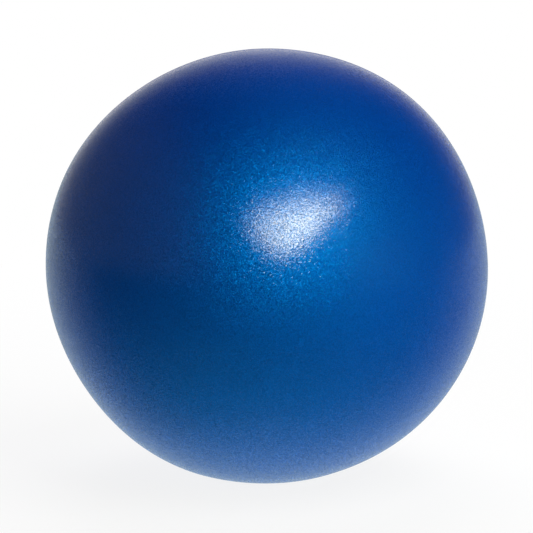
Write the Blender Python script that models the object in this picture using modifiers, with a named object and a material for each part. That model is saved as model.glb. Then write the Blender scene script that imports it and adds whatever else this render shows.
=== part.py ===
"""Soft Pilates ball: an inflated vinyl skin standing on its own contact patch, with a plugged blow-in valve.

Metres, +Z up. The origin is the middle of the patch that touches the floor, and the valve faces +Y.
"""

import math

import bmesh
import bpy

# Ball, at the pressure it is used at
BALL_DIAMETER = 0.250
FOOT_DIAMETER = 0.023
SKIN_WALL = 0.0008

# Valve plug
PLUG_HEAD_DIAMETER = 0.0115
PLUG_HEAD_THICKNESS = 0.0017
PLUG_HEAD_DOME = 0.0004
PLUG_HEAD_PROUD = 0.0005
PLUG_STEM_DIAMETER = 0.0042
PLUG_STEM_LENGTH = 0.0145
PLUG_NOSE_LENGTH = 0.0030
PLUG_NOSE_TAPER = 0.0008
PLUG_RING_HEIGHT = 0.00035
PLUG_RING_GRIP_LENGTH = 0.0004
PLUG_RING_LEAD_LENGTH = 0.0008
PLUG_RING_COUNT = 3

# Valve seat, the insert that the skin is moulded round
SEAT_RIM_WIDTH = 0.0036
SEAT_BEAD_HEIGHT = 0.00035
SEAT_FLOOR = 0.0015
SEAT_FLANGE_OVERLAP = 0.0040
SEAT_FLANGE_THICKNESS = 0.0012
SEAT_TUBE_WALL = 0.0019
SEAT_TUBE_LENGTH = 0.0130
NAIL_SCOOP_DIAMETER = 0.0040

# Fits and edges
SEAM_GAP = 0.0003
HEAD_CLEARANCE = 0.0003
STEM_CLEARANCE = 0.0002
EDGE_ROUND = 0.0003

# Facets
BALL_STEPS = 48
QUARTER_STEPS = 12
VALVE_STEPS = 32
DOME_STEPS = 4
EDGE_SEGMENTS = 2
SHARP_ANGLE = math.radians(35)
MERGE_DISTANCE = 0.00001

# Sizes that follow from those above
BALL_RADIUS = BALL_DIAMETER / 2
FOOT_RADIUS = FOOT_DIAMETER / 2
FOOT_ANGLE = math.asin(FOOT_RADIUS / BALL_RADIUS)
FACET_SAG = BALL_RADIUS * (1 - math.cos(math.pi / BALL_STEPS))
HEAD_RADIUS = PLUG_HEAD_DIAMETER / 2
STEM_RADIUS = PLUG_STEM_DIAMETER / 2
RING_RADIUS = STEM_RADIUS + PLUG_RING_HEIGHT
RING_LENGTH = PLUG_RING_GRIP_LENGTH + PLUG_RING_LEAD_LENGTH
RING_SPACE = (PLUG_STEM_LENGTH - PLUG_NOSE_LENGTH) / PLUG_RING_COUNT - RING_LENGTH
BORE_RADIUS = RING_RADIUS + STEM_CLEARANCE
TUBE_RADIUS = BORE_RADIUS + SEAT_TUBE_WALL
DISH_RADIUS = HEAD_RADIUS + HEAD_CLEARANCE
DISH_DEPTH = PLUG_HEAD_THICKNESS + SEAM_GAP - PLUG_HEAD_PROUD
COLLAR_RADIUS = DISH_RADIUS + SEAT_RIM_WIDTH
HOLE_RADIUS = COLLAR_RADIUS + SEAM_GAP
FLANGE_RADIUS = HOLE_RADIUS + SEAT_FLANGE_OVERLAP

# Finishes: linear colour, roughness
VINYL_BLUE = ((0.0, 0.076, 0.342), 0.45)
VINYL_BLUE_SMOOTH = ((0.0, 0.070, 0.320), 0.35)
PLUG_WHITE = ((0.78, 0.78, 0.74), 0.40)


def skin_height(angle):
    """Height of the skin over the floor, at an angle from the bottom of the ball seen from its middle.

    A thin skin under air pressure leaves the floor level at the edge of its foot. Its weight makes it sink
    with the logarithm of the distance from there, as far as the widest ring.
    """
    sunk = math.tan(min(angle, math.pi / 2) / 2) / math.tan(FOOT_ANGLE / 2)
    fall = FOOT_RADIUS**2 / BALL_RADIUS * math.log(sunk)
    return BALL_RADIUS * (math.cos(FOOT_ANGLE) - math.cos(angle)) - fall


def skin_drop(radius):
    """How far the outside of the ball has curved away, at a distance from the valve's axis."""
    return BALL_RADIUS - math.sqrt(BALL_RADIUS**2 - radius**2)


def under_skin(radius):
    """Height on the valve's axis of a face that lies against the inside of the skin."""
    return -(skin_drop(radius) + SKIN_WALL + FACET_SAG + SEAM_GAP)


VALVE_PLACE = (0, BALL_RADIUS, skin_height(math.pi / 2))
VALVE_TURN = (math.radians(-90), 0, 0)
BEAD_TOP = SEAT_BEAD_HEIGHT - skin_drop(COLLAR_RADIUS)
DISH_FLOOR = BEAD_TOP - DISH_DEPTH
SEAT_UNDERSIDE = min(under_skin(COLLAR_RADIUS) - SEAT_FLANGE_THICKNESS, DISH_FLOOR - SEAT_FLOOR)
HEAD_UNDERSIDE = DISH_FLOOR + SEAM_GAP
CUTTER_DEPTH = 2 * (BEAD_TOP - SEAT_UNDERSIDE)


def new_collection(name):
    made = bpy.data.collections.new(name)
    bpy.context.scene.collection.children.link(made)
    return made


def new_material(name, finish):
    colour, roughness = finish
    made = bpy.data.materials.new(name)
    made.use_nodes = True
    shader = made.node_tree.nodes["Principled BSDF"]
    shader.inputs["Base Color"].default_value = (*colour, 1)
    shader.inputs["Roughness"].default_value = roughness
    shader.inputs["Metallic"].default_value = 0
    made.diffuse_color = (*colour, 1)
    return made


def new_object(name, mesh, collection, parent=None):
    made = bpy.data.objects.new(name, mesh)
    made.parent = parent
    collection.objects.link(made)
    return made


def turned(name, outline, steps, collection, parent=None, closed=False):
    """A solid of revolution about its own Z, from (radius, height) points that run down its outer side."""
    mesh = bpy.data.meshes.new(name)
    count = len(outline)
    edges = [(i, (i + 1) % count) for i in range(count if closed else count - 1)]
    mesh.from_pydata([(radius, 0, height) for radius, height in outline], edges, [])
    made = new_object(name, mesh, collection, parent)
    screw = made.modifiers.new("Turn", "SCREW")
    screw.axis = "Z"
    screw.angle = 2 * math.pi
    screw.steps = screw.render_steps = steps
    screw.use_merge_vertices = True
    screw.merge_threshold = MERGE_DISTANCE
    return made


def round_edges(piece):
    bevel = piece.modifiers.new("Round edges", "BEVEL")
    bevel.width = EDGE_ROUND
    bevel.segments = EDGE_SEGMENTS
    bevel.limit_method = "ANGLE"
    bevel.angle_limit = SHARP_ANGLE


def cut(piece, cutter):
    boolean = piece.modifiers.new("Cut " + cutter.name, "BOOLEAN")
    boolean.operation = "DIFFERENCE"
    boolean.object = cutter


def new_cutter(name, mesh, collection, parent):
    made = new_object(name, mesh, collection, parent)
    made.hide_render = True
    made.display_type = "WIRE"
    return made


def hole_cutter(collection, valve):
    """The round hole in the skin that the seat's collar fills."""
    shape = bmesh.new()
    bmesh.ops.create_cone(
        shape,
        cap_ends=True,
        segments=VALVE_STEPS,
        radius1=HOLE_RADIUS,
        radius2=HOLE_RADIUS,
        depth=CUTTER_DEPTH,
    )
    mesh = bpy.data.meshes.new("valve_hole_cutter")
    shape.to_mesh(mesh)
    shape.free()
    return new_cutter("valve_hole_cutter", mesh, collection, valve)


def scoop_cutter(collection, valve):
    """A ball that takes a fingernail scoop out of the dish's wall, on the side of the valve that faces up."""
    shape = bmesh.new()
    bmesh.ops.create_uvsphere(
        shape,
        u_segments=VALVE_STEPS // 2,
        v_segments=VALVE_STEPS // 4,
        radius=NAIL_SCOOP_DIAMETER / 2,
    )
    mesh = bpy.data.meshes.new("nail_scoop_cutter")
    shape.to_mesh(mesh)
    shape.free()
    made = new_cutter("nail_scoop_cutter", mesh, collection, valve)
    made.location = (0, -DISH_RADIUS, BEAD_TOP)
    return made


def ball_skin(parts, cutters, valve):
    """The one-piece moulded skin: the standing ball's half outline, turned, given its wall and pierced."""
    outline = [(0, skin_height(math.pi))]
    for start, end in ((math.pi, math.pi / 2), (math.pi / 2, FOOT_ANGLE)):
        for step in range(QUARTER_STEPS):
            angle = start + (end - start) * (step + 1) / QUARTER_STEPS
            outline.append((BALL_RADIUS * math.sin(angle), skin_height(angle)))
    outline.append((0, 0))
    made = turned("ball_skin", outline, BALL_STEPS, parts)
    wall = made.modifiers.new("Wall", "SOLIDIFY")
    wall.thickness = SKIN_WALL
    wall.offset = -1
    wall.use_even_offset = True
    cut(made, hole_cutter(cutters, valve))
    made.data.materials.append(new_material("vinyl_blue", VINYL_BLUE))
    return made


def valve_seat(parts, cutters, valve):
    """The insert: a collar with a dish for the plug's head, a flange inside the skin and a soft tube."""
    tube_end = SEAT_UNDERSIDE - SEAT_TUBE_LENGTH
    outline = [
        (DISH_RADIUS, BEAD_TOP),
        (COLLAR_RADIUS, BEAD_TOP),
        (COLLAR_RADIUS, under_skin(COLLAR_RADIUS)),
        (FLANGE_RADIUS, under_skin(FLANGE_RADIUS)),
        (FLANGE_RADIUS, under_skin(FLANGE_RADIUS) - SEAT_FLANGE_THICKNESS),
        (TUBE_RADIUS, SEAT_UNDERSIDE),
        (TUBE_RADIUS, tube_end),
        (BORE_RADIUS, tube_end),
        (BORE_RADIUS, DISH_FLOOR),
        (DISH_RADIUS, DISH_FLOOR),
    ]
    made = turned("valve_seat", outline, VALVE_STEPS, parts, valve, closed=True)
    round_edges(made)
    cut(made, scoop_cutter(cutters, valve))
    made.data.materials.append(new_material("vinyl_blue_smooth", VINYL_BLUE_SMOOTH))
    return made


def valve_plug(parts, valve):
    """The stopper: a domed head that sits in the dish, on a stem with gripping rings and a tapered nose."""
    outline = []
    for step in range(DOME_STEPS + 1):
        reach = step / DOME_STEPS
        dome = PLUG_HEAD_DOME * (1 - reach**2)
        outline.append((HEAD_RADIUS * reach, HEAD_UNDERSIDE + PLUG_HEAD_THICKNESS + dome))
    outline.append((HEAD_RADIUS, HEAD_UNDERSIDE))
    outline.append((STEM_RADIUS, HEAD_UNDERSIDE))
    for ring in range(PLUG_RING_COUNT):
        top = HEAD_UNDERSIDE - RING_SPACE / 2 - ring * (RING_SPACE + RING_LENGTH)
        outline.append((STEM_RADIUS, top))
        outline.append((RING_RADIUS, top - PLUG_RING_GRIP_LENGTH))
        outline.append((STEM_RADIUS, top - RING_LENGTH))
    nose_end = HEAD_UNDERSIDE - PLUG_STEM_LENGTH
    outline.append((STEM_RADIUS, nose_end + PLUG_NOSE_LENGTH))
    outline.append((STEM_RADIUS - PLUG_NOSE_TAPER, nose_end))
    outline.append((0, nose_end))
    made = turned("valve_plug", outline, VALVE_STEPS, parts, valve)
    round_edges(made)
    made.data.materials.append(new_material("plug_white", PLUG_WHITE))
    return made


def main():
    for old in list(bpy.data.objects):
        bpy.data.objects.remove(old)
    parts = new_collection("pilates_ball")
    cutters = new_collection("cutters")
    valve = new_object("valve_axis", None, parts)
    valve.location = VALVE_PLACE
    valve.rotation_euler = VALVE_TURN
    ball_skin(parts, cutters, valve)
    valve_seat(parts, cutters, valve)
    valve_plug(parts, valve)


main()
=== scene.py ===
"""The small Pilates ball as it looks: its grained vinyl skin, valve seat, plug and studio."""

import math

import bmesh
import bpy
from mathutils import Matrix, Vector


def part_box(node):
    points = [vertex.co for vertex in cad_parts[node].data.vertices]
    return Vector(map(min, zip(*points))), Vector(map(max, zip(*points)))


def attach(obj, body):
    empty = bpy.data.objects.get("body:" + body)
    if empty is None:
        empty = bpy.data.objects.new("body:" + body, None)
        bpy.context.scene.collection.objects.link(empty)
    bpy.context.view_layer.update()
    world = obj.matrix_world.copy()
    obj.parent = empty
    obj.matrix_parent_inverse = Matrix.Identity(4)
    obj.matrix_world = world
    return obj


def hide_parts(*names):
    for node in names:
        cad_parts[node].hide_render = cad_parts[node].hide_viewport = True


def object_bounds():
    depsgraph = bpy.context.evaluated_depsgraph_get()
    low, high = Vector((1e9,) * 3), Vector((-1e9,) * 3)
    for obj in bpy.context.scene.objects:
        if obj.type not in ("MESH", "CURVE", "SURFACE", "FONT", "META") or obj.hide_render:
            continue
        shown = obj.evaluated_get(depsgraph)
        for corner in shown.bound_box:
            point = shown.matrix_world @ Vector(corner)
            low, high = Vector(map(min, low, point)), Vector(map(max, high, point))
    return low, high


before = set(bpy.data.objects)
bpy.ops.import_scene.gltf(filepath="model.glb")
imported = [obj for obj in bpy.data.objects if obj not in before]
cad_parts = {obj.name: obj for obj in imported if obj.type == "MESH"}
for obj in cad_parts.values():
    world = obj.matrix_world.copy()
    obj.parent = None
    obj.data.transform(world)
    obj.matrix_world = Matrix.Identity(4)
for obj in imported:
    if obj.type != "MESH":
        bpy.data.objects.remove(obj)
cad_low, cad_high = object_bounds()


# Ball skin
# One hollow skin of soft vinyl, cast in a turning mould and then blown up until it is just firm, so
# slow waves run over it, and its weight presses a small foot flat and leaves it wider than tall.
# A low line is left where the two halves of the mould met, and the skin swells round the valve.
skin_low, skin_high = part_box("ball_skin")
plug_low, plug_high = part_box("valve_plug")
BALL_RADIUS = (skin_high.x - skin_low.x) / 2
VALVE_HEIGHT = (plug_low.z + plug_high.z) / 2
VALVE_HOLE_RADIUS = 0.00966
SKIN_WALL = 0.0008
SKIN_SIZES = {
    "Ball Radius": BALL_RADIUS,
    "Foot Radius": 0.0115,
    "Mould Line Height": 0.00018,
    "Mould Line Half Width": 0.0005,
    "Valve Swell Height": 0.00015,
    "Valve Swell Reach": 0.028,
    "Waviness Height": 0.0046,
    "Waviness Length": 0.130,
    "Waviness Clearance": 0.060,
    "Foot Blend": 0.008,
}
WAVINESS_SEED = 4597.0
WAVE_MIDDLE = 0.5
SKIN_MERGE = 0.000001
SKIN_SHARP_ANGLE = math.radians(40)
SKIN_SEGMENTS = 240
# Rings in each stretch from the valve to the far pole, and the angle from the valve where it ends.
SKIN_STRETCHES = (
    (22, math.radians(13.5)),
    (62, math.radians(89.2)),
    (14, math.radians(90.8)),
    (76, math.pi),
)
# The flat grid that the rule wraps is 1 by 1, with its middle at the origin.
HALF_GRID = 0.5


def add(tree, kind, inputs=None, **settings):
    """Adds a node with its settings, and sets or links its inputs."""
    made = tree.nodes.new(kind)
    for setting, value in settings.items():
        setattr(made, setting, value)
    for socket, value in (inputs or {}).items():
        if isinstance(value, bpy.types.NodeSocket):
            tree.links.new(value, made.inputs[socket])
        else:
            made.inputs[socket].default_value = value
    return made


def linear(colour):
    """The linear colour of an sRGB hex value."""
    parts = [int(colour[place:place + 2], 16) / 255 for place in (1, 3, 5)]
    return [
        part / 12.92 if part <= 0.04045 else ((part + 0.055) / 1.055) ** 2.4
        for part in parts
    ] + [1]


# The sockets of a Mix node that take its two colours, and the one that gives the mixed colour.
FIRST_COLOUR = 6
SECOND_COLOUR = 7
MIXED_COLOUR = 2

# Soft PVC with a little pearl pigment, from a sandblasted mould: a deep blue with a blue glow round
# the shine, and a fine grain that breaks the shine into specks and mottles the rest faintly.
# The real grit is too fine to show in the picture, so its pits and facets are drawn coarser here.
# The pits are also painted darker, as painted shade in the hollows, over the grain's random tone.
# The white part of the shine is a clear film on top, which thins in the pits.
VINYL_BLUE = "#003EA0"
VINYL_BLUE_DEEP = "#003A9A"
# Painted shade: the darker blue that the grain's pits are mixed towards, as shade in the hollows.
VINYL_PIT_PAINTED_SHADE = "#00226E"
PEARL_TINT = "#0087FF"
PEARL_LEVEL = 1.0
PEARL_IOR = 2.04
PEARL_ROUGHNESS_LEAST = 0.40
PEARL_ROUGHNESS_MOST = 0.53
FILM_SHARE = 1.0
FILM_SHARE_IN_PITS = 0.15
FILM_ROUGHNESS = 0.085
VINYL_IOR = 1.53
GRAIN_SIZE = 0.0008
GRAIN_DEPTH = 0.00007
GRAIN_DETAIL = 1.0
PIT_FLOOR = 0.30
PIT_EDGE = 0.65
FACET_SIZE = 0.00036
FACET_MIDDLE = (0.5, 0.5, 0.5)
CLOUD_SIZE = 0.040
CLOUD_DETAIL = 3.0
# Each facet leans its own way: the pearl by an even share, the film mostly a little and rarely far.
PEARL_LEAN = 0.42
LEAN_LEAST = 0.03
LEAN_MOST = 0.26
LEAN_RARITY = 3.0
vinyl = bpy.data.materials.new("grained_pearl_pvc")
vinyl.use_nodes = True
tree = vinyl.node_tree
shader = tree.nodes["Principled BSDF"]
place = add(tree, "ShaderNodeTexCoord").outputs["Object"]
grain = add(
    tree, "ShaderNodeTexNoise",
    {"Vector": place, "Scale": 1 / GRAIN_SIZE, "Detail": GRAIN_DETAIL},
).outputs[0]
pit = add(
    tree, "ShaderNodeMapRange",
    {"Value": grain, "From Min": PIT_FLOOR, "From Max": PIT_EDGE, "To Min": 1.0, "To Max": 0.0},
).outputs[0]
facets = add(tree, "ShaderNodeTexVoronoi", {"Vector": place, "Scale": 1 / FACET_SIZE}).outputs
chance = add(tree, "ShaderNodeTexWhiteNoise", {"Vector": facets["Position"]}).outputs["Value"]
cloud = add(
    tree, "ShaderNodeTexNoise",
    {"Vector": place, "Scale": 1 / CLOUD_SIZE, "Detail": CLOUD_DETAIL},
).outputs[0]
tone = add(
    tree, "ShaderNodeMix",
    {"Factor": cloud, FIRST_COLOUR: linear(VINYL_BLUE), SECOND_COLOUR: linear(VINYL_BLUE_DEEP)},
    data_type="RGBA",
).outputs[MIXED_COLOUR]
# Painted shade in the pits: the colour darkens where the grain is low, over the grain's random tone.
colour = add(
    tree, "ShaderNodeMix",
    {"Factor": pit, FIRST_COLOUR: tone, SECOND_COLOUR: linear(VINYL_PIT_PAINTED_SHADE)},
    data_type="RGBA",
).outputs[MIXED_COLOUR]
gloss = add(
    tree, "ShaderNodeMapRange",
    {"Value": chance, "To Min": PEARL_ROUGHNESS_LEAST, "To Max": PEARL_ROUGHNESS_MOST},
).outputs[0]
film = add(
    tree, "ShaderNodeMapRange",
    {"Value": pit, "To Min": FILM_SHARE, "To Max": FILM_SHARE_IN_PITS},
).outputs[0]
lean = add(tree, "ShaderNodeMath", {0: chance, 1: LEAN_RARITY}, operation="POWER").outputs[0]
lean = add(
    tree, "ShaderNodeMapRange",
    {"Value": lean, "To Min": LEAN_LEAST, "To Max": LEAN_MOST},
).outputs[0]
orange_peel = add(
    tree, "ShaderNodeBump",
    {"Height": grain, "Distance": GRAIN_DEPTH},
).outputs[0]
tilt = add(
    tree, "ShaderNodeVectorMath",
    {0: facets["Color"], 1: FACET_MIDDLE},
    operation="SUBTRACT",
).outputs[0]
for amount, socket in ((PEARL_LEAN, "Normal"), (lean, "Coat Normal")):
    facet = add(tree, "ShaderNodeVectorMath", {0: tilt, "Scale": amount}, operation="SCALE").outputs[0]
    facet = add(tree, "ShaderNodeVectorMath", {0: orange_peel, 1: facet}, operation="ADD").outputs[0]
    facet = add(tree, "ShaderNodeVectorMath", {0: facet}, operation="NORMALIZE").outputs[0]
    tree.links.new(facet, shader.inputs[socket])
tree.links.new(colour, shader.inputs["Base Color"])
tree.links.new(gloss, shader.inputs["Roughness"])
tree.links.new(film, shader.inputs["Coat Weight"])
shader.inputs["IOR"].default_value = PEARL_IOR
shader.inputs["Specular IOR Level"].default_value = PEARL_LEVEL
shader.inputs["Specular Tint"].default_value = linear(PEARL_TINT)
shader.inputs["Coat Roughness"].default_value = FILM_ROUGHNESS
shader.inputs["Coat IOR"].default_value = VINYL_IOR

# The rule of the skin: a grid wrapped round the valve's axis, then let down on to the foot.
tree = bpy.data.node_groups.new("skin_rule", "GeometryNodeTree")
sockets = {
    name: tree.interface.new_socket(name, in_out="INPUT", socket_type="NodeSocketFloat").identifier
    for name in SKIN_SIZES
}
sockets["Vinyl"] = tree.interface.new_socket(
    "Vinyl", in_out="INPUT", socket_type="NodeSocketMaterial",
).identifier
tree.interface.new_socket("Skin", in_out="OUTPUT", socket_type="NodeSocketGeometry")
size = add(tree, "NodeGroupInput").outputs
rings = sum(count for count, end in SKIN_STRETCHES)
grid = add(
    tree, "GeometryNodeMeshGrid",
    {
        "Size X": 2 * HALF_GRID,
        "Size Y": 2 * HALF_GRID,
        "Vertices X": SKIN_SEGMENTS + 1,
        "Vertices Y": rings + 1,
    },
)
spot = add(tree, "ShaderNodeSeparateXYZ", {0: add(tree, "GeometryNodeInputPosition").outputs[0]})
turn = add(
    tree, "ShaderNodeMapRange",
    {
        "Value": spot.outputs["X"],
        "From Min": -HALF_GRID,
        "From Max": HALF_GRID,
        "To Max": 2 * math.pi,
    },
).outputs[0]
done = 0
angle = math.asin(VALVE_HOLE_RADIUS / BALL_RADIUS)
start = angle
for count, end in SKIN_STRETCHES:
    stretch = add(
        tree, "ShaderNodeMapRange",
        {
            "Value": spot.outputs["Y"],
            "From Min": done / rings - HALF_GRID,
            "From Max": (done + count) / rings - HALF_GRID,
            "To Max": end - start,
        },
    )
    angle = add(tree, "ShaderNodeMath", {0: angle, 1: stretch.outputs[0]}, operation="ADD").outputs[0]
    done += count
    start = end
out = add(tree, "ShaderNodeMath", {0: angle}, operation="SINE").outputs[0]
along = add(tree, "ShaderNodeMath", {0: angle}, operation="COSINE").outputs[0]
side = add(tree, "ShaderNodeMath", {0: turn}, operation="COSINE").outputs[0]
rise = add(tree, "ShaderNodeMath", {0: turn}, operation="SINE").outputs[0]
east = add(tree, "ShaderNodeMath", {0: out, 1: side}, operation="MULTIPLY").outputs[0]
up = add(tree, "ShaderNodeMath", {0: out, 1: rise}, operation="MULTIPLY").outputs[0]
outward = add(tree, "ShaderNodeCombineXYZ", {"X": east, "Y": along, "Z": up}).outputs[0]

# The skin is cut level at the foot, and the rest sinks on to it as a blown-up skin does: further up
# to the widest ring, by the logarithm of the tangent of half the angle from the ball's lowest point.
share = add(
    tree, "ShaderNodeMath",
    {0: size["Foot Radius"], 1: size["Ball Radius"]},
    operation="DIVIDE",
).outputs[0]
foot_angle = add(tree, "ShaderNodeMath", {0: share}, operation="ARCSINE").outputs[0]
foot_cosine = add(tree, "ShaderNodeMath", {0: foot_angle}, operation="COSINE").outputs[0]
down = add(tree, "ShaderNodeMath", {0: up, 1: -1.0}, operation="MULTIPLY").outputs[0]
down = add(tree, "ShaderNodeMath", {0: down, 1: foot_cosine}, operation="MINIMUM").outputs[0]
low = add(tree, "ShaderNodeMath", {0: down, 1: 0.0}, operation="MAXIMUM").outputs[0]
polar = add(tree, "ShaderNodeMath", {0: low}, operation="ARCCOSINE").outputs[0]
polar = add(tree, "ShaderNodeMath", {0: polar, 1: 0.5}, operation="MULTIPLY").outputs[0]
polar = add(tree, "ShaderNodeMath", {0: polar}, operation="TANGENT").outputs[0]
foot_half = add(tree, "ShaderNodeMath", {0: foot_angle, 1: 0.5}, operation="MULTIPLY").outputs[0]
foot_half = add(tree, "ShaderNodeMath", {0: foot_half}, operation="TANGENT").outputs[0]
ratio = add(tree, "ShaderNodeMath", {0: polar, 1: foot_half}, operation="DIVIDE").outputs[0]
sag = add(tree, "ShaderNodeMath", {0: ratio, 1: math.e}, operation="LOGARITHM").outputs[0]
sag = add(tree, "ShaderNodeMath", {0: sag, 1: size["Foot Radius"]}, operation="MULTIPLY").outputs[0]
sag = add(tree, "ShaderNodeMath", {0: sag, 1: share}, operation="MULTIPLY").outputs[0]
height = add(tree, "ShaderNodeMath", {0: foot_cosine, 1: down}, operation="SUBTRACT").outputs[0]
height = add(
    tree, "ShaderNodeMath",
    {0: height, 1: size["Ball Radius"]},
    operation="MULTIPLY",
).outputs[0]
height = add(tree, "ShaderNodeMath", {0: height, 1: sag}, operation="SUBTRACT").outputs[0]
wide = add(
    tree, "ShaderNodeVectorMath",
    {0: outward, "Scale": size["Ball Radius"]},
    operation="SCALE",
).outputs[0]
wide_parts = add(tree, "ShaderNodeSeparateXYZ", {0: wide})
settled = add(
    tree, "ShaderNodeCombineXYZ",
    {"X": wide_parts.outputs["X"], "Y": wide_parts.outputs["Y"], "Z": height},
).outputs[0]

# The relief on that shape: the swell at the valve, the mould line, and the slow waves, which keep
# clear of the valve and die away at the foot.
arc = add(tree, "ShaderNodeMath", {0: angle, 1: size["Ball Radius"]}, operation="MULTIPLY").outputs[0]
swell = add(
    tree, "ShaderNodeMapRange",
    {
        "Value": arc,
        "From Min": VALVE_HOLE_RADIUS,
        "From Max": size["Valve Swell Reach"],
        "To Min": size["Valve Swell Height"],
        "To Max": 0.0,
    },
    interpolation_type="SMOOTHSTEP",
).outputs[0]
line = add(tree, "ShaderNodeMath", {0: angle, 1: math.pi / 2}, operation="SUBTRACT").outputs[0]
line = add(tree, "ShaderNodeMath", {0: line, 1: size["Ball Radius"]}, operation="MULTIPLY").outputs[0]
line = add(
    tree, "ShaderNodeMath",
    {0: line, 1: size["Mould Line Half Width"]},
    operation="DIVIDE",
).outputs[0]
line = add(tree, "ShaderNodeMath", {0: line, 1: line}, operation="MULTIPLY").outputs[0]
line = add(tree, "ShaderNodeMath", {0: line, 1: -1.0}, operation="MULTIPLY").outputs[0]
line = add(tree, "ShaderNodeMath", {0: line}, operation="EXPONENT").outputs[0]
line = add(
    tree, "ShaderNodeMath",
    {0: line, 1: size["Mould Line Height"]},
    operation="MULTIPLY",
).outputs[0]
wave_scale = add(
    tree, "ShaderNodeMath",
    {0: 1.0, 1: size["Waviness Length"]},
    operation="DIVIDE",
).outputs[0]
wave = add(
    tree, "ShaderNodeTexNoise",
    {"Vector": wide, "W": WAVINESS_SEED, "Scale": wave_scale, "Detail": 0.0},
    noise_dimensions="4D",
).outputs[0]
wave = add(tree, "ShaderNodeMath", {0: wave, 1: WAVE_MIDDLE}, operation="SUBTRACT").outputs[0]
wave = add(
    tree, "ShaderNodeMath",
    {0: wave, 1: size["Waviness Height"]},
    operation="MULTIPLY",
).outputs[0]
clear = add(
    tree, "ShaderNodeMapRange",
    {"Value": arc, "From Min": VALVE_HOLE_RADIUS, "From Max": size["Waviness Clearance"]},
    interpolation_type="SMOOTHSTEP",
).outputs[0]
wave = add(tree, "ShaderNodeMath", {0: wave, 1: clear}, operation="MULTIPLY").outputs[0]
relief = add(tree, "ShaderNodeMath", {0: line, 1: wave}, operation="ADD").outputs[0]
pressed = add(tree, "ShaderNodeMapRange", {"Value": height, "From Max": size["Foot Blend"]}).outputs[0]
relief = add(tree, "ShaderNodeMath", {0: relief, 1: pressed}, operation="MULTIPLY").outputs[0]
relief = add(tree, "ShaderNodeMath", {0: relief, 1: swell}, operation="ADD").outputs[0]
relief = add(tree, "ShaderNodeVectorMath", {0: outward, "Scale": relief}, operation="SCALE").outputs[0]
finished = add(tree, "ShaderNodeVectorMath", {0: settled, 1: relief}, operation="ADD").outputs[0]

wrapped = add(
    tree, "GeometryNodeSetPosition",
    {"Geometry": grid.outputs["Mesh"], "Position": finished},
)
closed = add(
    tree, "GeometryNodeMergeByDistance",
    {"Geometry": wrapped.outputs[0], "Distance": SKIN_MERGE},
)
smooth = add(tree, "GeometryNodeSetShadeSmooth", {"Geometry": closed.outputs[0]})
real = add(tree, "GeometryNodeRealizeInstances", {"Geometry": smooth.outputs[0]})
coated = add(tree, "GeometryNodeSetMaterial", {"Geometry": real.outputs[0], "Material": size["Vinyl"]})
add(tree, "NodeGroupOutput", {"Skin": coated.outputs[0]})

mould = bpy.data.objects.new("skin_mould", bpy.data.meshes.new("skin_mould"))
bpy.context.collection.objects.link(mould)
rule = mould.modifiers.new("rule", "NODES")
rule.node_group = tree
for name, value in SKIN_SIZES.items():
    rule[sockets[name]] = value
rule[sockets["Vinyl"]] = vinyl
wall = mould.modifiers.new("wall", "SOLIDIFY")
wall.thickness = SKIN_WALL
wall.offset = -1
shape = bpy.data.meshes.new_from_object(mould.evaluated_get(bpy.context.evaluated_depsgraph_get()))
bpy.data.objects.remove(mould)
shape.name = "skin"
shape.set_sharp_from_angle(angle=SKIN_SHARP_ANGLE)
skin = bpy.data.objects.new("skin", shape)
bpy.context.collection.objects.link(skin)
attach(skin, "ball")
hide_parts("ball_skin")


# Valve seat
# A soft valve insert of the same vinyl, laid in the mould first so that the skin fuses round it.
# Its collar has a dish for the plug's head, with a nick for a fingernail, and a tube goes inwards.
SEAT_STEPS = 96
DISH_RADIUS = 0.00605
DISH_FLOOR = -0.00152
BEAD_TOP = -0.00002
BEAD_SHOULDER = -0.00012
COLLAR_RADIUS = 0.00965
COLLAR_FOOT = -0.00117
FLANGE_RADIUS = 0.01395
FLANGE_TOP = -0.00185
SEAT_UNDERSIDE = -0.00302
TUBE_RADIUS = 0.00455
TUBE_END = -0.01602
BORE_RADIUS = 0.00265
NAIL_NICK_RADIUS = 0.0020
NICK_STEPS = 48
SEAT_ROUND = 0.0003
NICK_ROUND = 0.00012
ROUND_SEGMENTS = 3
ROUND_FROM_ANGLE = math.radians(28)
VALVE_SHARP_ANGLE = math.radians(50)


def soften(piece, edge_round):
    """Rounds the edges that are sharp so far."""
    edges = piece.modifiers.new("edges", "BEVEL")
    edges.width = edge_round
    edges.segments = ROUND_SEGMENTS
    edges.limit_method = "ANGLE"
    edges.angle_limit = ROUND_FROM_ANGLE


def turned(name, outline, steps, edge_round):
    """A round piece on the valve's axis, from its outline of radius and distance beyond the ball."""
    built = bmesh.new()
    loops = []
    for radius, reach in outline:
        corners = steps if radius > 0 else 1
        loops.append([
            built.verts.new((
                radius * math.cos(2 * math.pi * corner / steps),
                BALL_RADIUS + reach,
                VALVE_HEIGHT + radius * math.sin(2 * math.pi * corner / steps),
            ))
            for corner in range(corners)
        ])
    closed_outline = outline[0][0] > 0
    pairs = zip(loops, loops[1:] + loops[:1]) if closed_outline else zip(loops, loops[1:])
    for near, far in pairs:
        for corner in range(steps):
            following = (corner + 1) % steps
            ring = [near[corner % len(near)], near[following % len(near)]]
            ring += [far[following % len(far)], far[corner % len(far)]]
            built.faces.new(list(dict.fromkeys(ring)))
    bmesh.ops.recalc_face_normals(built, faces=built.faces)
    made = bpy.data.objects.new(name, bpy.data.meshes.new(name))
    built.to_mesh(made.data)
    built.free()
    bpy.context.collection.objects.link(made)
    soften(made, edge_round)
    return made


def settle(made, material):
    """Applies the piece's modifiers, smooths it between sharp edges and gives it its material."""
    shape = bpy.data.meshes.new_from_object(made.evaluated_get(bpy.context.evaluated_depsgraph_get()))
    made.modifiers.clear()
    made.data = shape
    shape.shade_smooth()
    shape.set_sharp_from_angle(angle=VALVE_SHARP_ANGLE)
    shape.materials.clear()
    shape.materials.append(material)


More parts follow.
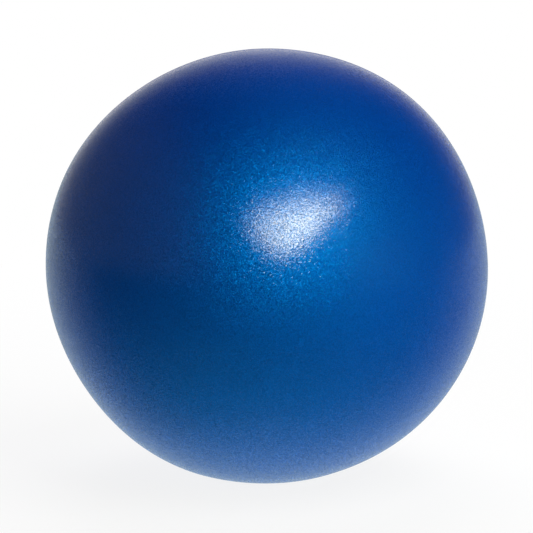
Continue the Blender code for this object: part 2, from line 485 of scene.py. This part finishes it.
# Smooth soft PVC: the same blue without the grain, a little glossier, with a faint moulding haze.
SEAT_BLUE = "#004C98"
SEAT_BLUE_HAZE = "#0A559F"
SEAT_ROUGHNESS_LEAST = 0.30
SEAT_ROUGHNESS_MOST = 0.42
HAZE_SIZE = 0.0022
HAZE_DETAIL = 3.0
HAZE_DEPTH = 0.00003
smooth_vinyl = bpy.data.materials.new("smooth_soft_pvc")
smooth_vinyl.use_nodes = True
tree = smooth_vinyl.node_tree
shader = tree.nodes["Principled BSDF"]
place = add(tree, "ShaderNodeTexCoord").outputs["Object"]
haze = add(
    tree, "ShaderNodeTexNoise",
    {"Vector": place, "Scale": 1 / HAZE_SIZE, "Detail": HAZE_DETAIL},
).outputs[0]
colour = add(
    tree, "ShaderNodeMix",
    {"Factor": haze, FIRST_COLOUR: linear(SEAT_BLUE), SECOND_COLOUR: linear(SEAT_BLUE_HAZE)},
    data_type="RGBA",
).outputs[MIXED_COLOUR]
gloss = add(
    tree, "ShaderNodeMapRange",
    {"Value": haze, "To Min": SEAT_ROUGHNESS_LEAST, "To Max": SEAT_ROUGHNESS_MOST},
).outputs[0]
bump = add(tree, "ShaderNodeBump", {"Height": haze, "Distance": HAZE_DEPTH}).outputs[0]
tree.links.new(colour, shader.inputs["Base Color"])
tree.links.new(gloss, shader.inputs["Roughness"])
tree.links.new(bump, shader.inputs["Normal"])
shader.inputs["IOR"].default_value = VINYL_IOR

seat = turned(
    "seat",
    (
        (BORE_RADIUS, TUBE_END),
        (BORE_RADIUS, DISH_FLOOR),
        (DISH_RADIUS, DISH_FLOOR),
        (DISH_RADIUS, BEAD_TOP),
        ((DISH_RADIUS + COLLAR_RADIUS) / 2, BEAD_TOP),
        (COLLAR_RADIUS, BEAD_SHOULDER),
        (COLLAR_RADIUS, COLLAR_FOOT),
        (COLLAR_RADIUS, FLANGE_TOP),
        (FLANGE_RADIUS, FLANGE_TOP),
        (FLANGE_RADIUS, SEAT_UNDERSIDE),
        (TUBE_RADIUS, SEAT_UNDERSIDE),
        (TUBE_RADIUS, TUBE_END),
    ),
    SEAT_STEPS,
    SEAT_ROUND,
)
shape = bpy.data.meshes.new("nail_nick")
nick_shape = bmesh.new()
bmesh.ops.create_uvsphere(
    nick_shape,
    u_segments=NICK_STEPS,
    v_segments=NICK_STEPS // 2,
    radius=NAIL_NICK_RADIUS,
    matrix=Matrix.Translation((0, BALL_RADIUS + BEAD_TOP, VALVE_HEIGHT + DISH_RADIUS)),
)
nick_shape.to_mesh(shape)
nick_shape.free()
nick = bpy.data.objects.new("nail_nick", shape)
bpy.context.collection.objects.link(nick)
cut = seat.modifiers.new("nick", "BOOLEAN")
cut.operation = "DIFFERENCE"
cut.object = nick
soften(seat, NICK_ROUND)
settle(seat, smooth_vinyl)
bpy.data.objects.remove(nick)
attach(seat, "ball")
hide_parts("valve_seat")


# Valve plug
# A firm stopper of off-white polyethylene, injection moulded, pushed into the seat by hand.
# Its domed head closes the dish, and three rings on the stem grip the soft tube.
PLUG_STEPS = 96
HEAD_RADIUS = 0.00575
HEAD_UNDERSIDE = -0.00122
HEAD_EDGE = 0.00048
HEAD_DOME = 0.0004
DOME_STEPS = 10
GATE_RADIUS = 0.0007
GATE_DEPTH = 0.00012
GATE_FLOOR = HEAD_EDGE + HEAD_DOME - GATE_DEPTH
STEM_RADIUS = 0.0021
STEM_END = -0.01572
NOSE_LENGTH = 0.0030
NOSE_RADIUS = 0.0013
RING_RADIUS = 0.00245
RING_COUNT = 3
RING_PITCH = 0.003833
RING_START = 0.001317
RING_GRIP = 0.0004
RING_LENGTH = 0.0012
PLUG_ROUND = 0.0002

# Low-density polyethylene: milky off-white, waxy and half matt.
POLYETHYLENE = "#E4E3DC"
POLYETHYLENE_SHADE = "#D9D8D0"
POLYETHYLENE_ROUGHNESS = 0.4
POLYETHYLENE_IOR = 1.51
MILK_SIZE = 0.003
MILK_DETAIL = 2.0
plug_material = bpy.data.materials.new("ldpe_off_white")
plug_material.use_nodes = True
tree = plug_material.node_tree
shader = tree.nodes["Principled BSDF"]
place = add(tree, "ShaderNodeTexCoord").outputs["Object"]
milk = add(
    tree, "ShaderNodeTexNoise",
    {"Vector": place, "Scale": 1 / MILK_SIZE, "Detail": MILK_DETAIL},
).outputs[0]
colour = add(
    tree, "ShaderNodeMix",
    {"Factor": milk, FIRST_COLOUR: linear(POLYETHYLENE), SECOND_COLOUR: linear(POLYETHYLENE_SHADE)},
    data_type="RGBA",
).outputs[MIXED_COLOUR]
tree.links.new(colour, shader.inputs["Base Color"])
shader.inputs["Roughness"].default_value = POLYETHYLENE_ROUGHNESS
shader.inputs["IOR"].default_value = POLYETHYLENE_IOR

outline = [(0, GATE_FLOOR), (GATE_RADIUS, GATE_FLOOR)]
for step in range(DOME_STEPS + 1):
    reach = GATE_RADIUS + (HEAD_RADIUS - GATE_RADIUS) * step / DOME_STEPS
    outline.append((reach, HEAD_EDGE + HEAD_DOME * (1 - (reach / HEAD_RADIUS)**2)))
outline += [(HEAD_RADIUS, HEAD_UNDERSIDE), (STEM_RADIUS, HEAD_UNDERSIDE)]
for ring in range(RING_COUNT):
    top = HEAD_UNDERSIDE - RING_START - ring * RING_PITCH
    outline += [(STEM_RADIUS, top), (RING_RADIUS, top - RING_GRIP), (STEM_RADIUS, top - RING_LENGTH)]
outline += [(STEM_RADIUS, STEM_END + NOSE_LENGTH), (NOSE_RADIUS, STEM_END), (0, STEM_END)]
plug = turned("plug", outline, PLUG_STEPS, PLUG_ROUND)
settle(plug, plug_material)
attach(plug, "plug")
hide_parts("valve_plug")


# Studio
# A wide floor of white paper in a white room, with one softbox that shows as the highlight.
# The other lamps are big soft fills that light the colours and that the skin doesn't mirror.
CAMERA_DISTANCE = 1.2
CAMERA_ELEVATION = math.radians(8)
CAMERA_LENS = 142.0
AIM_BELOW_MIDDLE = 0.00152
AIM = Vector((0, 0, (cad_low.z + cad_high.z) / 2 - AIM_BELOW_MIDDLE))
back = Vector((0, -math.cos(CAMERA_ELEVATION), math.sin(CAMERA_ELEVATION)))
camera = bpy.data.objects.new("camera", bpy.data.cameras.new("camera"))
bpy.context.collection.objects.link(camera)
camera.data.lens = CAMERA_LENS
camera.location = AIM + back * CAMERA_DISTANCE
camera.rotation_euler = (-back).to_track_quat("-Z", "Y").to_euler()
bpy.context.scene.camera = camera

# Each lamp: degrees to the right of the camera, degrees up, distance, width, height, roll in degrees,
# watts, the light's colour, whether it lights the colours, and whether glossy faces mirror it.
LAMPS = {
    "key_softbox": (19.4, 36.7, 1.3, 1.30, 0.68, 33, 69.0, "#FFF5C4", False, True),
    "high_fill": (44, 50, 1.3, 1.0, 1.0, 0, 11.6, "#FFFFFF", True, False),
    "right_fill": (58, 6, 1.3, 1.0, 0.5, 0, 11.6, "#FFFFD0", True, False),
    "back_fill": (180, 58, 1.3, 1.0, 1.0, 0, 11.5, "#FFFFFF", True, False),
    "rear_fill": (180, 8, 1.3, 1.0, 1.0, 0, 6.3, "#E4E4FF", True, False),
    "paper_bounce": (0, -90, 0.1211, 0.36, 0.5, 0, 1.28, "#FFFFAE", True, False),
}
for name, settings in LAMPS.items():
    azimuth, elevation, distance, width, height, roll, watts, colour, lights, mirrored = settings
    lamp = bpy.data.lights.new(name, "AREA")
    lamp.shape = "RECTANGLE"
    lamp.size = width
    lamp.size_y = height
    lamp.energy = watts
    lamp.color = linear(colour)[:3]
    holder = bpy.data.objects.new(name, lamp)
    bpy.context.collection.objects.link(holder)
    turn = math.radians(azimuth)
    lift = math.radians(elevation)
    toward = Vector((
        math.sin(turn) * math.cos(lift),
        -math.cos(turn) * math.cos(lift),
        math.sin(lift),
    ))
    facing = (-toward).to_track_quat("-Z", "Y").to_matrix().to_4x4()
    rolled = Matrix.Rotation(math.radians(roll), 4, "Z")
    holder.matrix_world = Matrix.Translation(AIM + toward * distance) @ facing @ rolled
    holder.visible_diffuse = lights
    holder.visible_glossy = mirrored

# The softbox is brightest low on its cloth, near its bulb. The glow lies aslant, fades to the far
# corners and is cut off by the lower edge. The bulb's place is in shares of the cloth, the spread in
# metres.
KEY_BULB = (0.41, 0.09, 0.0)
KEY_SLANT = math.radians(30)
KEY_SPREAD = (1.06, 0.52, 1.0)
key = bpy.data.lights["key_softbox"]
KEY_CLOTH = (key.size, key.size_y, 0.0)
key.use_nodes = True
tree = key.node_tree
cloth = add(tree, "ShaderNodeNewGeometry").outputs["Parametric"]
cloth = add(tree, "ShaderNodeVectorMath", {0: cloth, 1: KEY_BULB}, operation="SUBTRACT").outputs[0]
cloth = add(tree, "ShaderNodeVectorMath", {0: cloth, 1: KEY_CLOTH}, operation="MULTIPLY").outputs[0]
cloth = add(
    tree, "ShaderNodeVectorRotate",
    {"Vector": cloth, "Angle": KEY_SLANT},
    rotation_type="Z_AXIS",
).outputs[0]
cloth = add(tree, "ShaderNodeVectorMath", {0: cloth, 1: KEY_SPREAD}, operation="DIVIDE").outputs[0]
from_bulb = add(tree, "ShaderNodeVectorMath", {0: cloth}, operation="LENGTH").outputs["Value"]
fade = add(
    tree, "ShaderNodeMapRange",
    {"Value": from_bulb, "To Min": 1.0, "To Max": 0.0},
    interpolation_type="SMOOTHSTEP",
).outputs[0]
tree.links.new(fade, tree.nodes["Emission"].inputs["Strength"])

# The white paper under the ball, which fades to pure white away from the ball and keeps its shadow.
# Glossy faces don't mirror it. They see the paper as the lower half of the room that comes next.
FLOOR_REACH = 40
FLOOR_CORNERS = ((-1, -1), (1, -1), (1, 1), (-1, 1))
FLOOR_LEVEL = -0.0001
FLOOR_WHITENESS = 0.86
FADE_START = 0.2
FADE_END = 0.9
PAPER_WHITE = "#F3F3F3"
floor_mesh = bpy.data.meshes.new("floor")
floor_mesh.from_pydata(
    [(x * FLOOR_REACH, y * FLOOR_REACH, FLOOR_LEVEL) for x, y in FLOOR_CORNERS],
    [],
    [(0, 1, 2, 3)],
)
floor = bpy.data.objects.new("floor", floor_mesh)
bpy.context.collection.objects.link(floor)
floor.visible_glossy = False
paper = bpy.data.materials.new("white_paper_sweep")
paper.use_nodes = True
floor_mesh.materials.append(paper)
tree = paper.node_tree
tree.nodes.clear()
place = add(tree, "ShaderNodeTexCoord").outputs["Object"]
away = add(tree, "ShaderNodeVectorMath", {0: place}, operation="LENGTH").outputs["Value"]
white = add(
    tree, "ShaderNodeMapRange",
    {
        "Value": away,
        "From Min": FADE_START,
        "From Max": FADE_END,
        "To Min": FLOOR_WHITENESS,
        "To Max": 1.0,
    },
    interpolation_type="SMOOTHSTEP",
).outputs[0]
ray = add(tree, "ShaderNodeLightPath").outputs
seen = add(
    tree, "ShaderNodeMath",
    {0: ray["Is Camera Ray"], 1: white},
    operation="MULTIPLY",
).outputs[0]
matt = add(tree, "ShaderNodeBsdfDiffuse", {"Color": linear(PAPER_WHITE)}).outputs[0]
glow = add(tree, "ShaderNodeEmission").outputs[0]
mix = add(tree, "ShaderNodeMixShader", {0: seen, 1: matt, 2: glow}).outputs[0]
add(tree, "ShaderNodeOutputMaterial", {"Surface": mix})

# The white room, seen by the camera as pure white. Glossy faces see a wall behind that darkens to
# its upper corners, a pale patch on the left, and below them the paper, brightest behind the ball.
ROOM_WHITE = "#FFFFFF"
WALL_BEHIND = 0.95
WALL_START = 0.4
WALL_FULL = 1.0
WALL_FADE = 3.0
WALL_CORNERS = -3.4
LEFT_PATCH = 0.165
LEFT_PATCH_START = -0.3
LEFT_PATCH_FULL = -0.9
PAPER_TINT = "#E4F7FF"
PAPER_GLOW = 0.74
PAPER_START = -0.55
PAPER_FULL = 0.55
PAPER_SPREAD = -0.6
room = bpy.data.worlds.new("white_room")
bpy.context.scene.world = room
room.use_nodes = True
tree = room.node_tree
tree.nodes.clear()
ray = add(tree, "ShaderNodeLightPath").outputs
direction = add(tree, "ShaderNodeTexCoord").outputs["Generated"]
way = add(tree, "ShaderNodeSeparateXYZ", {0: direction}).outputs
aside = add(tree, "ShaderNodeMath", {0: way["X"]}, operation="ABSOLUTE").outputs[0]
behind = add(
    tree, "ShaderNodeMapRange",
    {"Value": way["Y"], "From Min": WALL_START, "From Max": WALL_FULL},
).outputs[0]
behind = add(tree, "ShaderNodeMath", {0: behind, 1: WALL_FADE}, operation="POWER").outputs[0]
behind = add(tree, "ShaderNodeMath", {0: behind, 1: WALL_BEHIND}, operation="MULTIPLY").outputs[0]
corner = add(tree, "ShaderNodeMath", {0: aside, 1: way["Z"]}, operation="MULTIPLY").outputs[0]
corner = add(
    tree, "ShaderNodeMath",
    {0: corner, 1: WALL_CORNERS, 2: 1.0},
    operation="MULTIPLY_ADD",
).outputs[0]
corner = add(tree, "ShaderNodeMath", {0: corner, 1: 0.0}, operation="MAXIMUM").outputs[0]
behind = add(tree, "ShaderNodeMath", {0: behind, 1: corner}, operation="MULTIPLY").outputs[0]
left = add(
    tree, "ShaderNodeMapRange",
    {
        "Value": way["X"],
        "From Min": LEFT_PATCH_START,
        "From Max": LEFT_PATCH_FULL,
        "To Max": LEFT_PATCH,
    },
    interpolation_type="SMOOTHSTEP",
).outputs[0]
walls = add(tree, "ShaderNodeMath", {0: behind, 1: left}, operation="ADD").outputs[0]
below = add(
    tree, "ShaderNodeMath",
    {0: aside, 1: PAPER_SPREAD, 2: way["Y"]},
    operation="MULTIPLY_ADD",
).outputs[0]
below = add(
    tree, "ShaderNodeMapRange",
    {"Value": below, "From Min": PAPER_START, "From Max": PAPER_FULL, "To Max": PAPER_GLOW},
    interpolation_type="SMOOTHSTEP",
).outputs[0]
down = add(tree, "ShaderNodeMath", {0: way["Z"], 1: 0.0}, operation="LESS_THAN").outputs[0]
around = add(tree, "ShaderNodeMix", {"Factor": down, "A": walls, "B": below}).outputs[0]
tint = add(
    tree, "ShaderNodeMix",
    {"Factor": down, FIRST_COLOUR: linear(ROOM_WHITE), SECOND_COLOUR: linear(PAPER_TINT)},
    data_type="RGBA",
).outputs[MIXED_COLOUR]
mirror = add(
    tree, "ShaderNodeMath",
    {0: ray["Is Glossy Ray"], 1: ray["Is Transmission Ray"]},
    operation="MAXIMUM",
).outputs[0]
mirrored = add(tree, "ShaderNodeBackground", {"Color": tint, "Strength": around}).outputs[0]
plain = add(
    tree, "ShaderNodeBackground",
    {"Color": linear(ROOM_WHITE), "Strength": ray["Is Camera Ray"]},
).outputs[0]
light = add(tree, "ShaderNodeMixShader", {0: mirror, 1: plain, 2: mirrored}).outputs[0]
add(tree, "ShaderNodeOutputWorld", {"Surface": light})

bpy.context.scene.view_settings.view_transform = "Standard"
